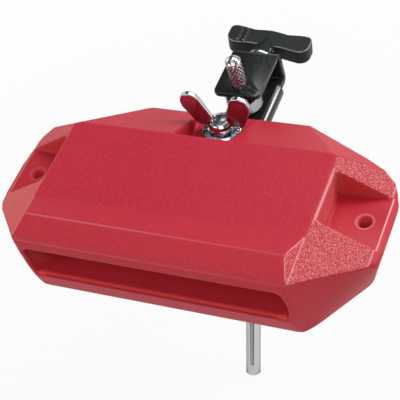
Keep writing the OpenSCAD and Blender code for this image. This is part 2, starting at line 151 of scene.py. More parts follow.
def ring_solid(name, rings):
    """A closed surface from rings of points whose last ring joins the first one, as on a torus."""
    count, size, _ = rings.shape
    verts = rings.reshape(-1, 3)
    i, j = np.meshgrid(np.arange(count), np.arange(size), indexing="ij")
    n, k = (i + 1) % count, (j + 1) % size
    quads = np.stack([i * size + j, i * size + k, n * size + k, n * size + j], -1).reshape(-1, 4)
    if inside_out(verts, np.concatenate([quads[:, [0, 1, 2]], quads[:, [0, 2, 3]]])):
        quads = quads[:, ::-1]
    return mesh_object(name, verts, quads.tolist())


def merged(node):
    """A copy of a CAD node's mesh, and the same mesh for editing, with its doubles merged."""
    mesh = frame["nodes"][node].data.copy()
    mesh.materials.clear()
    bm = bmesh.new()
    bm.from_mesh(mesh)
    bmesh.ops.remove_doubles(bm, verts=bm.verts, dist=SAME_POINT)
    return mesh, bm


def room_across(edge, face):
    """How far a face reaches from an edge: the shortest way across it from the middle half of that edge."""
    no_room, parallel = 0.001 * MM, 0.000001 * MM
    loop = next(corner for corner in face.loops if corner.edge == edge)
    start, end = loop.vert.co, loop.link_loop_next.vert.co
    along = (end - start).normalized()
    across = face.normal.cross(along)
    room = math.inf
    for share in (0.25, 0.4, 0.5, 0.6, 0.75):
        origin = start.lerp(end, share)
        for other in face.edges:
            if other == edge:
                continue
            a, b = (vertex.co - origin for vertex in other.verts)
            a_side, b_side = a.dot(along), b.dot(along)
            if a_side * b_side > 0 or abs(a_side - b_side) < parallel:
                continue
            t = a_side / (a_side - b_side)
            reach = a.dot(across) * (1 - t) + b.dot(across) * t
            if reach > no_room:
                room = min(room, reach)
    return room


def rounded_copy(node, name, width):
    """A merged copy of a CAD node whose sharp edges are rounded.

    Each edge gets the given width, but never more than 0.45 of the way across either of its faces, so that
    the roundings of two near edges don't meet.
    """
    sharp, flat = math.radians(24), math.radians(0.4)
    most_of_face = 0.45
    mesh, bm = merged(node)
    bmesh.ops.dissolve_degenerate(bm, edges=bm.edges, dist=SAME_POINT)
    bmesh.ops.dissolve_limit(bm, angle_limit=flat, verts=bm.verts, edges=bm.edges)
    bmesh.ops.recalc_face_normals(bm, faces=bm.faces)
    weight = bm.edges.layers.float.new("bevel_weight_edge")
    for edge in bm.edges:
        if len(edge.link_faces) != 2 or edge.calc_face_angle(0) < sharp:
            continue
        room = min(room_across(edge, face) for face in edge.link_faces)
        edge[weight] = min(width, most_of_face * room) / width
    bm.to_mesh(mesh)
    bm.free()
    mesh.name = name
    mesh.shade_smooth()
    obj = place_in_scene(name, mesh)
    bevel = obj.modifiers.new("rounded_edges", "BEVEL")
    bevel.width = width
    bevel.segments = 3
    bevel.limit_method = "WEIGHT"
    bevel.harden_normals = True
    bevel.use_clamp_overlap = False
    bevel.miter_outer = "MITER_ARC"
    return obj


def applied(form):
    """The mesh of an object with its modifiers applied; the object itself goes."""
    bpy.context.view_layer.update()
    mesh = bpy.data.meshes.new_from_object(form.evaluated_get(bpy.context.evaluated_depsgraph_get()))
    bpy.data.objects.remove(form)
    return mesh


def grid_copy(node, voxel, more=None, shape=None):
    """A closed copy of a CAD node's mesh, made anew from a grid of the given size.

    shape(points) gives the vertices new places first. more is an object that becomes one with the copy.
    """
    mesh, bm = merged(node)
    bmesh.ops.recalc_face_normals(bm, faces=bm.faces)
    bm.to_mesh(mesh)
    if shape is not None:
        move_points(mesh, shape(points_of(mesh)))
    if more is not None:
        bm.clear()
        bm.from_mesh(mesh)
        bm.from_mesh(more.data)
        bm.to_mesh(mesh)
        bpy.data.objects.remove(more)
    bm.free()
    form = place_in_scene(node + "_form", mesh)
    grid = form.modifiers.new("grid", "REMESH")
    grid.mode = "VOXEL"
    grid.voxel_size = voxel
    return applied(form)


def soften(mesh, passes, share=None):
    """Rounds edges and fills inner corners: in each pass a vertex moves towards the mean of its neighbours.

    It moves half of the way, times share(x, y, z) at its first place. In n passes a square edge of a grid
    with cells of size h gets a radius of about 0.8 * h * sqrt(n).
    """
    every = points_of(mesh)
    ends = np.empty(len(mesh.edges) * 2, np.int32)
    mesh.edges.foreach_get("vertices", ends)
    ends = ends.reshape(-1, 2)
    part = np.ones(len(every)) if share is None else share(*every.T)
    # Only the edges whose ends move, and their vertices numbered anew
    ends = ends[(part[ends] > 0).any(1)]
    used, ends = np.unique(ends, return_inverse=True)
    first, second = ends.reshape(-1, 2).T
    count = len(used)
    points = every[used]
    degree = np.bincount(ends.ravel(), minlength=count)[:, None]
    step = 0.5 * part[used][:, None] / degree
    for _ in range(passes):
        total = np.stack([
            np.bincount(first, points[second, axis], count) + np.bincount(second, points[first, axis], count)
            for axis in range(3)], -1)
        points += step * (total - degree * points)
    every[used] = points
    move_points(mesh, every)


def keep_inside(mesh, node):
    """Holds every vertex within the box of a CAD node."""
    low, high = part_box(node)
    margin = 0.001 * MM
    move_points(mesh, np.clip(points_of(mesh), np.array(low) + margin, np.array(high) - margin))


def cast_copy(node, name, voxel, passes, softer=(), kept=None, more=None, shape=None):
    """A copy of a CAD node with the soft edges and fillets of a moulding or a casting.

    softer lists (passes, share) for further softening of some places. kept is the share of the faces that
    stay when those on flat stretches are merged. more and shape are as in grid_copy.
    """
    mesh = grid_copy(node, voxel, more, shape)
    soften(mesh, passes)
    for more_passes, share in softer:
        soften(mesh, more_passes, share)
    if kept is not None:
        form = place_in_scene(node + "_form", mesh)
        form.modifiers.new("fewer_faces", "DECIMATE").ratio = kept
        mesh = applied(form)
    keep_inside(mesh, node)
    mesh.name = name
    mesh.shade_smooth()
    obj = place_in_scene(name, mesh)
    if kept is not None:
        obj.modifiers.new("flat_faces", "WEIGHTED_NORMAL").keep_sharp = False
    return obj


def ramp(value, low, high):
    """0 at low and 1 at high, with a smooth change between them."""
    t = np.clip((value - low) / (high - low), 0, 1)
    return t * t * (3 - 2 * t)


def block_softer(x, y, z):
    """Where the block's edges are rounder: along its foot, and down its front and end corners."""
    recess_x, recess_y, fade = 25 * MM, 30 * MM, 2 * MM
    front_corner_x, side_corner_y, rear_corner_y = 80 * MM, -24 * MM, 15 * MM
    across = np.abs(x)
    in_recess = ramp(across, recess_x + fade, recess_x - fade) * ramp(y, recess_y - fade, recess_y + fade)
    foot = ramp(z - block_low.z, 7 * MM, 4 * MM) * (1 - in_recess)
    front = np.hypot(across - front_corner_x, y - block_low.y)
    side = np.hypot(across - block_high.x, y - side_corner_y)
    rear = np.hypot(across - block_high.x, y - rear_corner_y)
    corner = np.maximum(ramp(front, 11 * MM, 7 * MM), ramp(np.minimum(side, rear), 8 * MM, 5 * MM))
    below_rim = ramp(z, 6 * MM, 1 * MM)
    return np.maximum(foot, corner * below_rim)


def front_cheek(x, y, z):
    """The middle of each front cheek, which twists between a level foot and a rim that climbs to the front.

    Softened many times with its border at rest it becomes one smooth saddle. The mask runs along the line
    from the cheek's rear corner to its front one, and fades out at the rim, the foot and both corners.
    """
    rear = np.array([block_high.x, -24.4 * MM])
    front = np.array([79.5 * MM, block_low.y])
    rim_rear, rim_climb = -2 * MM, 20.2 * MM
    thickness = 16 * MM
    length = np.hypot(*(front - rear))
    way = (front - rear) / length
    from_rear = np.stack([np.abs(x), y]) - rear[:, None]
    along = from_rear[0] * way[0] + from_rear[1] * way[1]
    inward = from_rear[0] * way[1] - from_rear[1] * way[0]
    rim = rim_rear + rim_climb * along / length
    within = ramp(along, 2 * MM, 7 * MM) * ramp(length - along, 2 * MM, 7 * MM)
    upright = ramp(rim - z, 1.5 * MM, 5 * MM) * ramp(z - block_low.z, 1.5 * MM, 5 * MM)
    return within * upright * ramp(np.abs(inward), thickness, thickness - 2 * MM)


def dress(obj, body, slot, material, *nodes):
    """Gives a piece its material and its body, and hides the CAD nodes that it stands for. The slot is not used.
    """
    obj.data.materials.clear()
    obj.data.materials.append(material)
    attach(obj, body)
    if nodes:
        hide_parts(*nodes)
    return obj


# Shader nodes

def feed(tree, socket, value):
    """Links an input to another node's output, or gives it a plain value."""
    if isinstance(value, bpy.types.NodeSocket):
        tree.links.new(value, socket)
    else:
        socket.default_value = value


def node_of(tree, kind, **inputs):
    """A shader node with its named inputs fed; an underscore in a name stands for a space."""
    node = tree.nodes.new(kind)
    for name, value in inputs.items():
        feed(tree, node.inputs[name.replace("_", " ")], value)
    return node


def math_node(tree, operation, *values):
    """The output of one Math node."""
    node = tree.nodes.new("ShaderNodeMath")
    node.operation = operation
    for socket, value in zip(node.inputs, values):
        feed(tree, socket, value)
    return node.outputs[0]


def absolute(tree, value):
    """The value without its sign."""
    return math_node(tree, "ABSOLUTE", value)


def map_range(tree, value, low, high, to_low=0.0, to_high=1.0):
    """value mapped smoothly from low..high to to_low..to_high."""
    node = node_of(tree, "ShaderNodeMapRange", Value=value, From_Min=low, From_Max=high, To_Min=to_low,
                   To_Max=to_high)
    node.interpolation_type = "SMOOTHSTEP"
    return node.outputs["Result"]


def above(tree, value, low, high, most=1.0):
    """A mask that climbs from 0 at low to most at high."""
    return map_range(tree, value, low, high, 0.0, most)


def below(tree, value, low, high, most=1.0):
    """A mask that falls from most at low to 0 at high."""
    return map_range(tree, value, low, high, most, 0.0)


def near(tree, value, centre, half):
    """A mask that is 1 about a centre, and falls to 0 at half a width from it."""
    away = absolute(tree, math_node(tree, "SUBTRACT", value, centre))
    return below(tree, away, half * 0.35, half)


def product(tree, *factors):
    """The product of several masks."""
    total = factors[0]
    for factor in factors[1:]:
        total = math_node(tree, "MULTIPLY", total, factor)
    return total


def most_of(tree, *masks):
    """The largest of several masks."""
    total = masks[0]
    for mask in masks[1:]:
        total = math_node(tree, "MAXIMUM", total, mask)
    return total


def mix_color(tree, factor, a, b):
    """The colour output of one Mix node: a where the factor is 0, and b where it is 1."""
    node = tree.nodes.new("ShaderNodeMix")
    node.data_type = "RGBA"
    factor_socket, a_socket, b_socket = 0, 6, 7
    feed(tree, node.inputs[factor_socket], factor)
    feed(tree, node.inputs[a_socket], a)
    feed(tree, node.inputs[b_socket], b)
    return node.outputs[2]


def moulded_grain():
    """Node group: the leathery grain of a mould, as its height and soft blotches, and the places of painted glints
    on it.

    The height is a distorted noise at the given scale, sharpened into pebbles, plus a finer noise. The painted
    glints are the rare peaks of another noise, a little finer than the pebbles.
    """
    group = bpy.data.node_groups.new("moulded_grain", "ShaderNodeTree")
    group.interface.new_socket("Vector", in_out="INPUT", socket_type="NodeSocketVector")
    group.interface.new_socket("Scale", in_out="INPUT", socket_type="NodeSocketFloat")
    for name in ("Height", "Tone", "Glints"):
        group.interface.new_socket(name, in_out="OUTPUT", socket_type="NodeSocketFloat")
    start = group.nodes.new("NodeGroupInput")
    end = group.nodes.new("NodeGroupOutput")

    def noise(times, **inputs):
        """One Noise node at the group's scale times a factor."""
        scale = math_node(group, "MULTIPLY", start.outputs["Scale"], times)
        node = node_of(group, "ShaderNodeTexNoise", Vector=start.outputs["Vector"], Scale=scale, **inputs)
        return node.outputs["Fac"]

    pebbles = map_range(group, noise(1.0, Detail=2.0, Roughness=0.55, Distortion=0.6), 0.36, 0.64)
    height = math_node(group, "MULTIPLY_ADD", noise(2.7, Detail=1.0), 0.3, pebbles)
    group.links.new(height, end.inputs["Height"])
    group.links.new(noise(0.03, Detail=3.0), end.inputs["Tone"])
    group.links.new(map_range(group, noise(1.1, Detail=1.0), 0.5, 0.66), end.inputs["Glints"])
    return group


def new_material(name):
    """A material, its node tree and its Principled shader."""
    material = bpy.data.materials.new(name)
    material.use_nodes = True
    tree = material.node_tree
    return material, tree, tree.nodes["Principled BSDF"]


def object_coords(tree):
    """The Object output of a Texture Coordinate node."""
    return tree.nodes.new("ShaderNodeTexCoord").outputs["Object"]


def axes_of(tree, vector):
    """The three components of a vector."""
    return node_of(tree, "ShaderNodeSeparateXYZ", Vector=vector).outputs


def grain_of(tree, group, vector, scale):
    """The outputs of one moulded_grain node, placed at the given scale."""
    node = tree.nodes.new("ShaderNodeGroup")
    node.node_tree = group
    feed(tree, node.inputs["Vector"], vector)
    feed(tree, node.inputs["Scale"], scale)
    return node.outputs


def bump(tree, height, distance, strength):
    """The normal of one Bump node."""
    node = node_of(tree, "ShaderNodeBump", Height=height, Distance=distance, Strength=strength)
    return node.outputs["Normal"]


def pointiness(tree):
    """How far the surface bends out, above 0.5, or in, below it."""
    return tree.nodes.new("ShaderNodeNewGeometry").outputs["Pointiness"]


# Red plastic

# Walls at the dark and the light end of the soft blotches; painted bounce light in the hollows; a painted
# highlight on the slot's sill; painted sheen on one pocket floor and on the bead's nose; and the bore, paler than
# the walls
WALL_DARK, WALL_LIGHT = (0.52, 0.02, 0.04, 1), (0.57, 0.024, 0.044, 1)
HOLLOW_BOUNCE_RED = (0.66, 0.066, 0.07, 1)
SILL_HIGHLIGHT_RED = (1, 0.09, 0.1, 1)
FLOOR_SHEEN_RED = (0.6, 0.06, 0.072, 1)
NOSE_SHEEN_RED = (0.66, 0.06, 0.075, 1)
BORE_RED = (0.75, 0.09, 0.1, 1)
# The end slopes: their grain with painted sheen on the crests and painted glints, and their smooth left side,
# painted lighter at the front than at the rear
GRAIN_PIT, GRAIN_CREST_SHEEN, GRAIN_GLINT = (0.6, 0.03, 0.045, 1), (0.92, 0.11, 0.125, 1), (1, 0.52, 0.55, 1)
SMOOTH_FRONT, SMOOTH_REAR = (0.75, 0.05, 0.045, 1), (0.62, 0.03, 0.038, 1)
# The finer grain of the panel
PANEL_PIT, PANEL_CREST = (0.47, 0.017, 0.041, 1), (0.6, 0.027, 0.054, 1)
# Painted highlights along the edges, and painted shade in inner corners
EDGE_HIGHLIGHT_PINK = (0.95, 0.4, 0.42, 1)
CORNER_SHADE_RED = (0.2, 0.008, 0.016, 1)


def from_hole(tree, side, y):
    """Distance in plan from the hole in the nearer ear; side is the distance from the block's middle."""
    across = math_node(tree, "SUBTRACT", side, ear_hole_x)
    squares = math_node(tree, "MULTIPLY_ADD", across, across, math_node(tree, "MULTIPLY", y, y))
    return math_node(tree, "SQRT", squares)


def pocket_highlights(tree, side, y, z):
    """Painted highlights on the edges of an ear: its pocket's rim, the floor's outer edge, and the ear's end
    beside the pocket.
    """
    within = below(tree, absolute(tree, y), POCKET_HALF_Y, POCKET_HALF_Y + 0.6 * MM)
    near_top = above(tree, z, PANEL_Z - 3.5 * MM, PANEL_Z - 2 * MM)
    rim = product(tree, near(tree, side, POCKET_X - 0.1 * MM, 0.48 * MM), near_top, within)
    lip = product(tree, near(tree, side, EAR_END_X, 0.55 * MM), near(tree, z, 0.0, 1.1 * MM), within)
    end = product(tree, near(tree, side, EAR_END_X - 0.9 * MM, 0.7 * MM), near(tree, z, 1.2 * MM, 0.9 * MM),
                  below(tree, within, 0.0, 1.0, 0.7))
    # The rim of the pocket's front wall is where that wall meets the height of the end slope
    slope_z = math_node(tree, "MULTIPLY_ADD", side, -END_FALL, PANEL_Z + END_FALL * PANEL_END_X)
    at_slope = above(tree, math_node(tree, "SUBTRACT", z, slope_z), -0.9 * MM, -0.4 * MM)
    reach = product(tree, above(tree, side, POCKET_X, POCKET_X + 0.5 * MM),
                    below(tree, side, EAR_END_X - 2 * MM, EAR_END_X - 1.2 * MM))
    front = product(tree, near(tree, y, -POCKET_HALF_Y, 0.7 * MM), at_slope, reach, 0.45)
    return most_of(tree, rim, lip, end, front)


def bead_highlights(tree, side, y, z):
    """Painted highlights on the edges of the bead: both edges of the facet that ends it.

    The bead's roof is two planes that meet at the crest, and its height is the lower of the two. The facet is
    a third plane, side = panel's end - lean * (z - panel), so one edge lies where roof and facet both hold,
    and the other where the facet meets the panel's level.
    """
    bead_rise = (CREST_Z - PANEL_Z) / (BEAD_BACK_Y - CREST_Y)
    behind = math_node(tree, "MULTIPLY_ADD", y, -bead_rise, PANEL_Z + bead_rise * BEAD_BACK_Y)
    before = math_node(tree, "MULTIPLY_ADD", y, BEAD_FALL, CREST_Z - BEAD_FALL * CREST_Y)
    roof = math_node(tree, "MINIMUM", behind, before)
    facet = math_node(tree, "MULTIPLY_ADD", z, -FACET_LEAN, PANEL_END_X + FACET_LEAN * PANEL_Z)
    on_roof = near(tree, math_node(tree, "SUBTRACT", z, roof), 0.0, 0.5 * MM)
    on_facet = near(tree, math_node(tree, "SUBTRACT", side, facet), 0.0, 0.6 * MM)
    on_bead = below(tree, y, BEAD_BACK_Y - 1.5 * MM, BEAD_BACK_Y)
    foot = product(tree, near(tree, z, PANEL_Z, 0.4 * MM), near(tree, side, PANEL_END_X, 0.6 * MM), 0.8)
    return product(tree, most_of(tree, product(tree, on_roof, on_facet), foot), on_bead)


def edge_highlights(tree, x, side, y, z):
    """Painted highlights along the edges, round the ear's hole and on the crest, fainter on the left ear than on
    the right one, where the light falls.
    """
    ring = product(tree, near(tree, from_hole(tree, side, y), 4.9 * MM, 0.8 * MM),
                   below(tree, z, 0.4 * MM, 0.9 * MM, 0.3))
    lines = most_of(tree, pocket_highlights(tree, side, y, z), bead_highlights(tree, side, y, z), ring)
    lines = product(tree, lines, map_range(tree, x, -60 * MM, 60 * MM, 0.3, 1.0))
    crest = product(tree, near(tree, y, CREST_Y, 0.8 * MM),
                    above(tree, z, CREST_Z - 1.5 * MM, CREST_Z - 0.5 * MM),
                    map_range(tree, x, -40 * MM, 60 * MM, 0.22, 0.1))
    return most_of(tree, lines, crest)


def hollows(tree, side, y, z):
    """1 on the walls of the pockets and of the sound chamber, which light one another."""
    pocket = product(tree, above(tree, side, POCKET_X - 0.6 * MM, POCKET_X),
                     above(tree, z, 0.3 * MM, 1.5 * MM),
                     below(tree, absolute(tree, y), POCKET_HALF_Y - 0.2 * MM, POCKET_HALF_Y + 0.4 * MM))
    chamber = product(tree, below(tree, side, CHAMBER_END_X - 0.8 * MM, CHAMBER_END_X),
                      above(tree, y, block_low.y + 1 * MM, block_low.y + 5.5 * MM),
                      below(tree, y, CHAMBER_BACK_Y - 1 * MM, CHAMBER_BACK_Y),
                      near(tree, z, -0.5 * MM, 14.5 * MM))
    return most_of(tree, pocket, chamber)


def slot_sill(tree, side, y, z):
    """A painted highlight: a thin pale line inside the slot's lower lip."""
    return product(tree, below(tree, z, SILL_Z - 1.1 * MM, SILL_Z),
                   above(tree, z, SILL_Z - 2.8 * MM, SILL_Z - 2.2 * MM),
                   above(tree, y, block_low.y + 1 * MM, block_low.y + 1.5 * MM),
                   below(tree, y, block_low.y + 2.5 * MM, block_low.y + 4.5 * MM),
                   below(tree, side, CHAMBER_END_X - 2 * MM, CHAMBER_END_X))


def right_floor(tree, x, y, z, upward):
    """Painted sheen on the front half of the right pocket's floor."""
    return product(tree, near(tree, z, 0.0, 0.5 * MM), below(tree, y, -15 * MM, 4 * MM),
                   above(tree, y, -POCKET_HALF_Y, 0.5 * MM - POCKET_HALF_Y),
                   above(tree, x, POCKET_X, POCKET_X + 1 * MM), upward)


def right_pocket_wall(tree, nx, x, side, z):
    """The inner wall of the right pocket, lit from the right, where the slopes' grain and its painted highlights
    go on, fading towards the floor into painted shade.
    """
    return product(tree, near(tree, side, POCKET_X + 0.8 * MM, 2 * MM), above(tree, z, 2 * MM, 5 * MM, 0.45),
                   above(tree, absolute(tree, nx), 0.7, 0.8), above(tree, x, 0.0, 10 * MM))


def wall_color(tree, tone, x, side, y, z, upward):
    """The smooth walls: blotched red, with painted bounce light in the hollows, a painted highlight on the sill,
    and painted sheen on one floor and on the bead's nose.
    """
    color = mix_color(tree, map_range(tree, tone, 0.3, 0.7), WALL_DARK, WALL_LIGHT)
    # Painted bounce light on the walls of the hollows
    color = mix_color(tree, hollows(tree, side, y, z), color, HOLLOW_BOUNCE_RED)
    # Painted highlight on the slot's sill
    color = mix_color(tree, slot_sill(tree, side, y, z), color, SILL_HIGHLIGHT_RED)
    # Painted sheen on the right pocket's floor
    color = mix_color(tree, right_floor(tree, x, y, z, upward), color, FLOOR_SHEEN_RED)
    # Painted sheen on the bead's nose
    nose = product(tree, below(tree, y, CREST_Y - 1.4 * MM, CREST_Y), above(tree, z, 17 * MM, 19 * MM))
    return mix_color(tree, nose, color, NOSE_SHEEN_RED)


def leather_color(tree, grain, y, right):
    """The end slopes: painted sheen on the crests and painted glints over darker low spots on the right, where the
    light falls across the grain, and smooth on the left.
    """
    crests = map_range(tree, grain["Height"], 0.2, 1.2)
    pebbled = mix_color(tree, crests, GRAIN_PIT, GRAIN_CREST_SHEEN)
    pebbled = mix_color(tree, product(tree, grain["Glints"], 0.66), pebbled, GRAIN_GLINT)
    smooth = mix_color(tree, map_range(tree, y, -10 * MM, 10 * MM), SMOOTH_FRONT, SMOOTH_REAR)
    return mix_color(tree, right, smooth, pebbled)


def red_plastic(group):
    """Moulded red plastic: leathery end slopes, a finer grain on the panel, and smooth walls.

    Masks come from the place and the true normal: the slopes are what faces up and sideways, above the
    pockets' floors and not to the back.
    """
    slope_grain, panel_grain, pebble_height = 1500, 1000, 0.36 * MM
    material, tree, shader = new_material("red_moulded_plastic")
    coords = object_coords(tree)
    x, y, z = axes_of(tree, coords)
    side = absolute(tree, x)
    nx, ny, nz = axes_of(tree, tree.nodes.new("ShaderNodeNewGeometry").outputs["True Normal"])
    upward = above(tree, nz, 0.35, 0.5)
    sideways = above(tree, absolute(tree, nx), 0.3, 0.45)
    not_back = below(tree, ny, 0.15, 0.3)
    slope = product(tree, upward, sideways, above(tree, z, 0.35 * MM, 0.8 * MM), not_back)
    panel = product(tree, above(tree, z, PANEL_Z - 0.6 * MM, PANEL_Z - 0.2 * MM), upward,
                    math_node(tree, "SUBTRACT", 1.0, slope))
    pocket_wall = right_pocket_wall(tree, nx, x, side, z)
    coarse = grain_of(tree, group, coords, slope_grain)
    fine = grain_of(tree, group, coords, panel_grain)
    # The grain's bumps and its painted highlights are strong on the right ear, where the light falls across them,
    # and fade towards the left one
    right = map_range(tree, x, -40 * MM, 60 * MM, 0.25, 1.0)
    leather = most_of(tree, product(tree, slope, right), pocket_wall)
    strength = most_of(tree, product(tree, panel, 0.2), leather, 0.05)
    tree.links.new(bump(tree, coarse["Height"], pebble_height, strength), shader.inputs["Normal"])
    color = wall_color(tree, fine["Tone"], x, side, y, z, upward)
    # Painted sheen and glints on the grain of the slopes and of the right pocket's wall
    color = mix_color(tree, most_of(tree, slope, pocket_wall), color, leather_color(tree, coarse, y, right))
    struck = mix_color(tree, map_range(tree, fine["Height"], 0.4, 1.1), PANEL_PIT, PANEL_CREST)
    color = mix_color(tree, product(tree, panel, 0.6), color, struck)
    # Painted highlights along the edges
    color = mix_color(tree, edge_highlights(tree, x, side, y, z), color, EDGE_HIGHLIGHT_PINK)
    in_bore = below(tree, from_hole(tree, side, y), 3.9 * MM, 4.2 * MM)
    color = mix_color(tree, in_bore, color, BORE_RED)
    # Painted shade in the inner corners
    corner = below(tree, pointiness(tree), 0.43, 0.485, 0.5)
    color = mix_color(tree, corner, color, CORNER_SHADE_RED)
    tree.links.new(color, shader.inputs["Base Color"])
    tree.links.new(map_range(tree, leather, 0.0, 1.0, 0.42, 0.3), shader.inputs["Roughness"])
    shader.inputs["IOR"].default_value = 1.46
    shader.inputs["Specular IOR Level"].default_value = 0.25
    return material


# Other materials

def plated_metal(name, base, roughness, groove_shade=None):
    """Plated metal: a mirror with faint smears that soften it here and there.

    groove_shade names a mesh attribute that is 1 in the depth of a groove, where painted shade makes the metal
    dark and reddish.
    """
    groove_shade_red = (0.1, 0.03, 0.035, 1)
    material, tree, shader = new_material(name)
    noise = node_of(tree, "ShaderNodeTexNoise", Vector=object_coords(tree), Scale=160.0, Detail=3.0)
    smears = noise.outputs["Fac"]
    tree.links.new(map_range(tree, smears, 0.35, 0.75, roughness, roughness * 2.2 + 0.02),
                   shader.inputs["Roughness"])
    tint = mix_color(tree, smears, (*base, 1), (*[share * 0.93 for share in base], 1))
    if groove_shade is not None:
        # Painted shade, dark and reddish, in the depths of the grooves
        groove = tree.nodes.new("ShaderNodeAttribute")
        groove.attribute_name = groove_shade
        tint = mix_color(tree, above(tree, groove.outputs["Fac"], 0.3, 0.6), tint, groove_shade_red)
    tree.links.new(tint, shader.inputs["Base Color"])
    shader.inputs["Metallic"].default_value = 1.0
    shader.inputs["Specular Tint"].default_value = (0.3, 0.33, 0.37, 1)
    return material


def gloss_black():
    """Black gloss coat on pressed steel, with the faint orange peel of a sprayed coat."""
    bend_x, bend_y, bend_z = 13.9 * MM, 87 * MM, -17.7 * MM
    bend_width, bend_half_length = 1.2 * MM, 26 * MM
    material, tree, shader = new_material("black_gloss_coat")
    coords = object_coords(tree)
    peel = node_of(tree, "ShaderNodeTexNoise", Vector=coords, Scale=420.0, Detail=2.0).outputs["Fac"]
    tree.links.new(bump(tree, peel, 0.02 * MM, 0.5), shader.inputs["Normal"])
    tree.links.new(map_range(tree, peel, 0.3, 0.7, 0.16, 0.24), shader.inputs["Roughness"])
    color = mix_color(tree, peel, (0.012, 0.014, 0.014, 1), (0.018, 0.02, 0.02, 1))
    # A painted highlight: the coat is painted white along the fold where the sides turn down from the lower plate
    x, y, z = axes_of(tree, coords)
    bend_highlight = product(tree, near(tree, absolute(tree, x), bend_x, bend_width), near(tree, z, bend_z, bend_width),
                   near(tree, y, bend_y, bend_half_length))
    tree.links.new(mix_color(tree, bend_highlight, color, (1, 1, 1, 1)), shader.inputs["Base Color"])
    shader.inputs["Specular IOR Level"].default_value = 0.4
    shader.inputs["Coat Weight"].default_value = 0.15
    shader.inputs["Coat Roughness"].default_value = 0.08
    return material


def black_plastic(group):
    """Moulded black plastic with a fine grain, a satin face and painted highlights on its outer edges."""
    material, tree, shader = new_material("black_moulded_plastic")
    fine = grain_of(tree, group, object_coords(tree), 1300)
    tree.links.new(bump(tree, fine["Height"], 0.08 * MM, 0.5), shader.inputs["Normal"])
    color = mix_color(tree, fine["Tone"], (0.004, 0.007, 0.005, 1), (0.01, 0.014, 0.011, 1))
    # Painted highlights on the outer edges
    rim_highlight = above(tree, pointiness(tree), 0.514, 0.532)
    tree.links.new(mix_color(tree, rim_highlight, color, (0.3, 0.33, 0.31, 1)), shader.inputs["Base Color"])
    tree.links.new(map_range(tree, fine["Tone"], 0.3, 0.7, 0.3, 0.4), shader.inputs["Roughness"])
    shader.inputs["Specular IOR Level"].default_value = 0.24
    return material


def rubber(group):
    """Black rubber with a dull, slightly dusty face."""
    material, tree, shader = new_material("black_rubber")
    fine = grain_of(tree, group, object_coords(tree), 900)
    tree.links.new(bump(tree, fine["Height"], 0.1 * MM, 0.4), shader.inputs["Normal"])
    color = mix_color(tree, fine["Tone"], (0.02, 0.02, 0.02, 1), (0.045, 0.043, 0.04, 1))
    tree.links.new(color, shader.inputs["Base Color"])
    shader.inputs["Roughness"].default_value = 0.75
    return material


# Pieces

def diamond_knurl(s, angle, start, end):
    """Depth of a diamond knurl, from 0 on its points to 1 in its grooves.

    Two sets of helical grooves cross. One lies where turns * angle / turn + climb * s / pitch is a half over
    a whole number, and the other where the same holds with a minus. A groove's depth falls evenly over flank
    times the pitch to either side, and the knurl fades out at both ends.
    """
    turns, climb, flank, fade = 13, 0.66, 0.24, 0.8 * MM
    pitch = TURN * rod_radius / turns
    around = turns * angle / TURN
    along = climb * s[:, None] / pitch
    away = np.minimum(np.abs((around + along) % 1 - 0.5), np.abs((around - along) % 1 - 0.5))
    ends = np.clip((s - start) / fade, 0, 1) * np.clip((end - s) / fade, 0, 1)
    return np.clip(1 - away / flank, 0, 1) * ends[:, None]


def knurled_rod():
    """The mounting rod: circles carried along its axis, with a diamond knurl near the top.

    The axis is straight, then a circular arc, then straight again. The radius follows a dome at the top end
    and a chamfer at the bottom end, and falls by the depth of the knurl between them.
    """
    dome, chamfer = 2.6 * MM, 1.0 * MM
    bend_angle = math.atan2(-rod_tail_way.y, -rod_tail_way.z)
    bend_r, corner_z, tail = 20 * MM, -36.5 * MM, 168.98 * MM
    knurl_from, knurl_to, knurl_depth = 4.2 * MM, 19 * MM, 0.3 * MM
    # s is the distance below the top of the rod, along its axis
    reach = bend_r * math.tan(bend_angle / 2)
    straight = rod_high.z - corner_z - reach
    arc = bend_r * bend_angle
    total = straight + arc + tail - reach
    s = np.unique(np.concatenate([
        dome * (1 - np.cos(np.linspace(0.02, 1, 14) * math.pi / 2)), [dome + 0.5 * MM],
        np.linspace(knurl_from - 0.6 * MM, knurl_to + 0.6 * MM, 180),
        np.linspace(knurl_to + 1 * MM, straight, 8), np.linspace(straight, straight + arc, 14),
        np.linspace(straight + arc, total - chamfer, 24), [total]]))
    ball = (rod_radius ** 2 + dome ** 2) / (2 * dome)
    r = np.where(s < dome, np.sqrt(np.maximum(ball ** 2 - (ball - s) ** 2, 0)), rod_radius)
    r[s > total - chamfer] = rod_radius - chamfer
    along = np.clip((s - straight) / bend_r, 0, bend_angle)
    rest = np.maximum(s - straight - arc, 0)
    y = rod_high.y - rod_radius - bend_r * (1 - np.cos(along)) - rest * math.sin(bend_angle)
    z = rod_high.z - np.minimum(s, straight) - bend_r * np.sin(along) - rest * math.cos(bend_angle)
    angle = np.linspace(0, TURN, AROUND_ROD, endpoint=False)
    groove = diamond_knurl(s, angle, knurl_from, knurl_to)
    r = r[:, None] - knurl_depth * groove
    back = r * np.sin(angle)
    rings = np.stack([r * np.cos(angle), y[:, None] + back * np.cos(along)[:, None],
                      z[:, None] - back * np.sin(along)[:, None]], -1)
    rod = solid("mounting_rod_knurled", rings)
    # The two last vertices are the middles of the ends
    depth = rod.data.attributes.new("groove", "FLOAT", "POINT")
    depth.data.foreach_set("value", np.append(groove.ravel(), [0, 0]).astype(np.float32))
    return rod


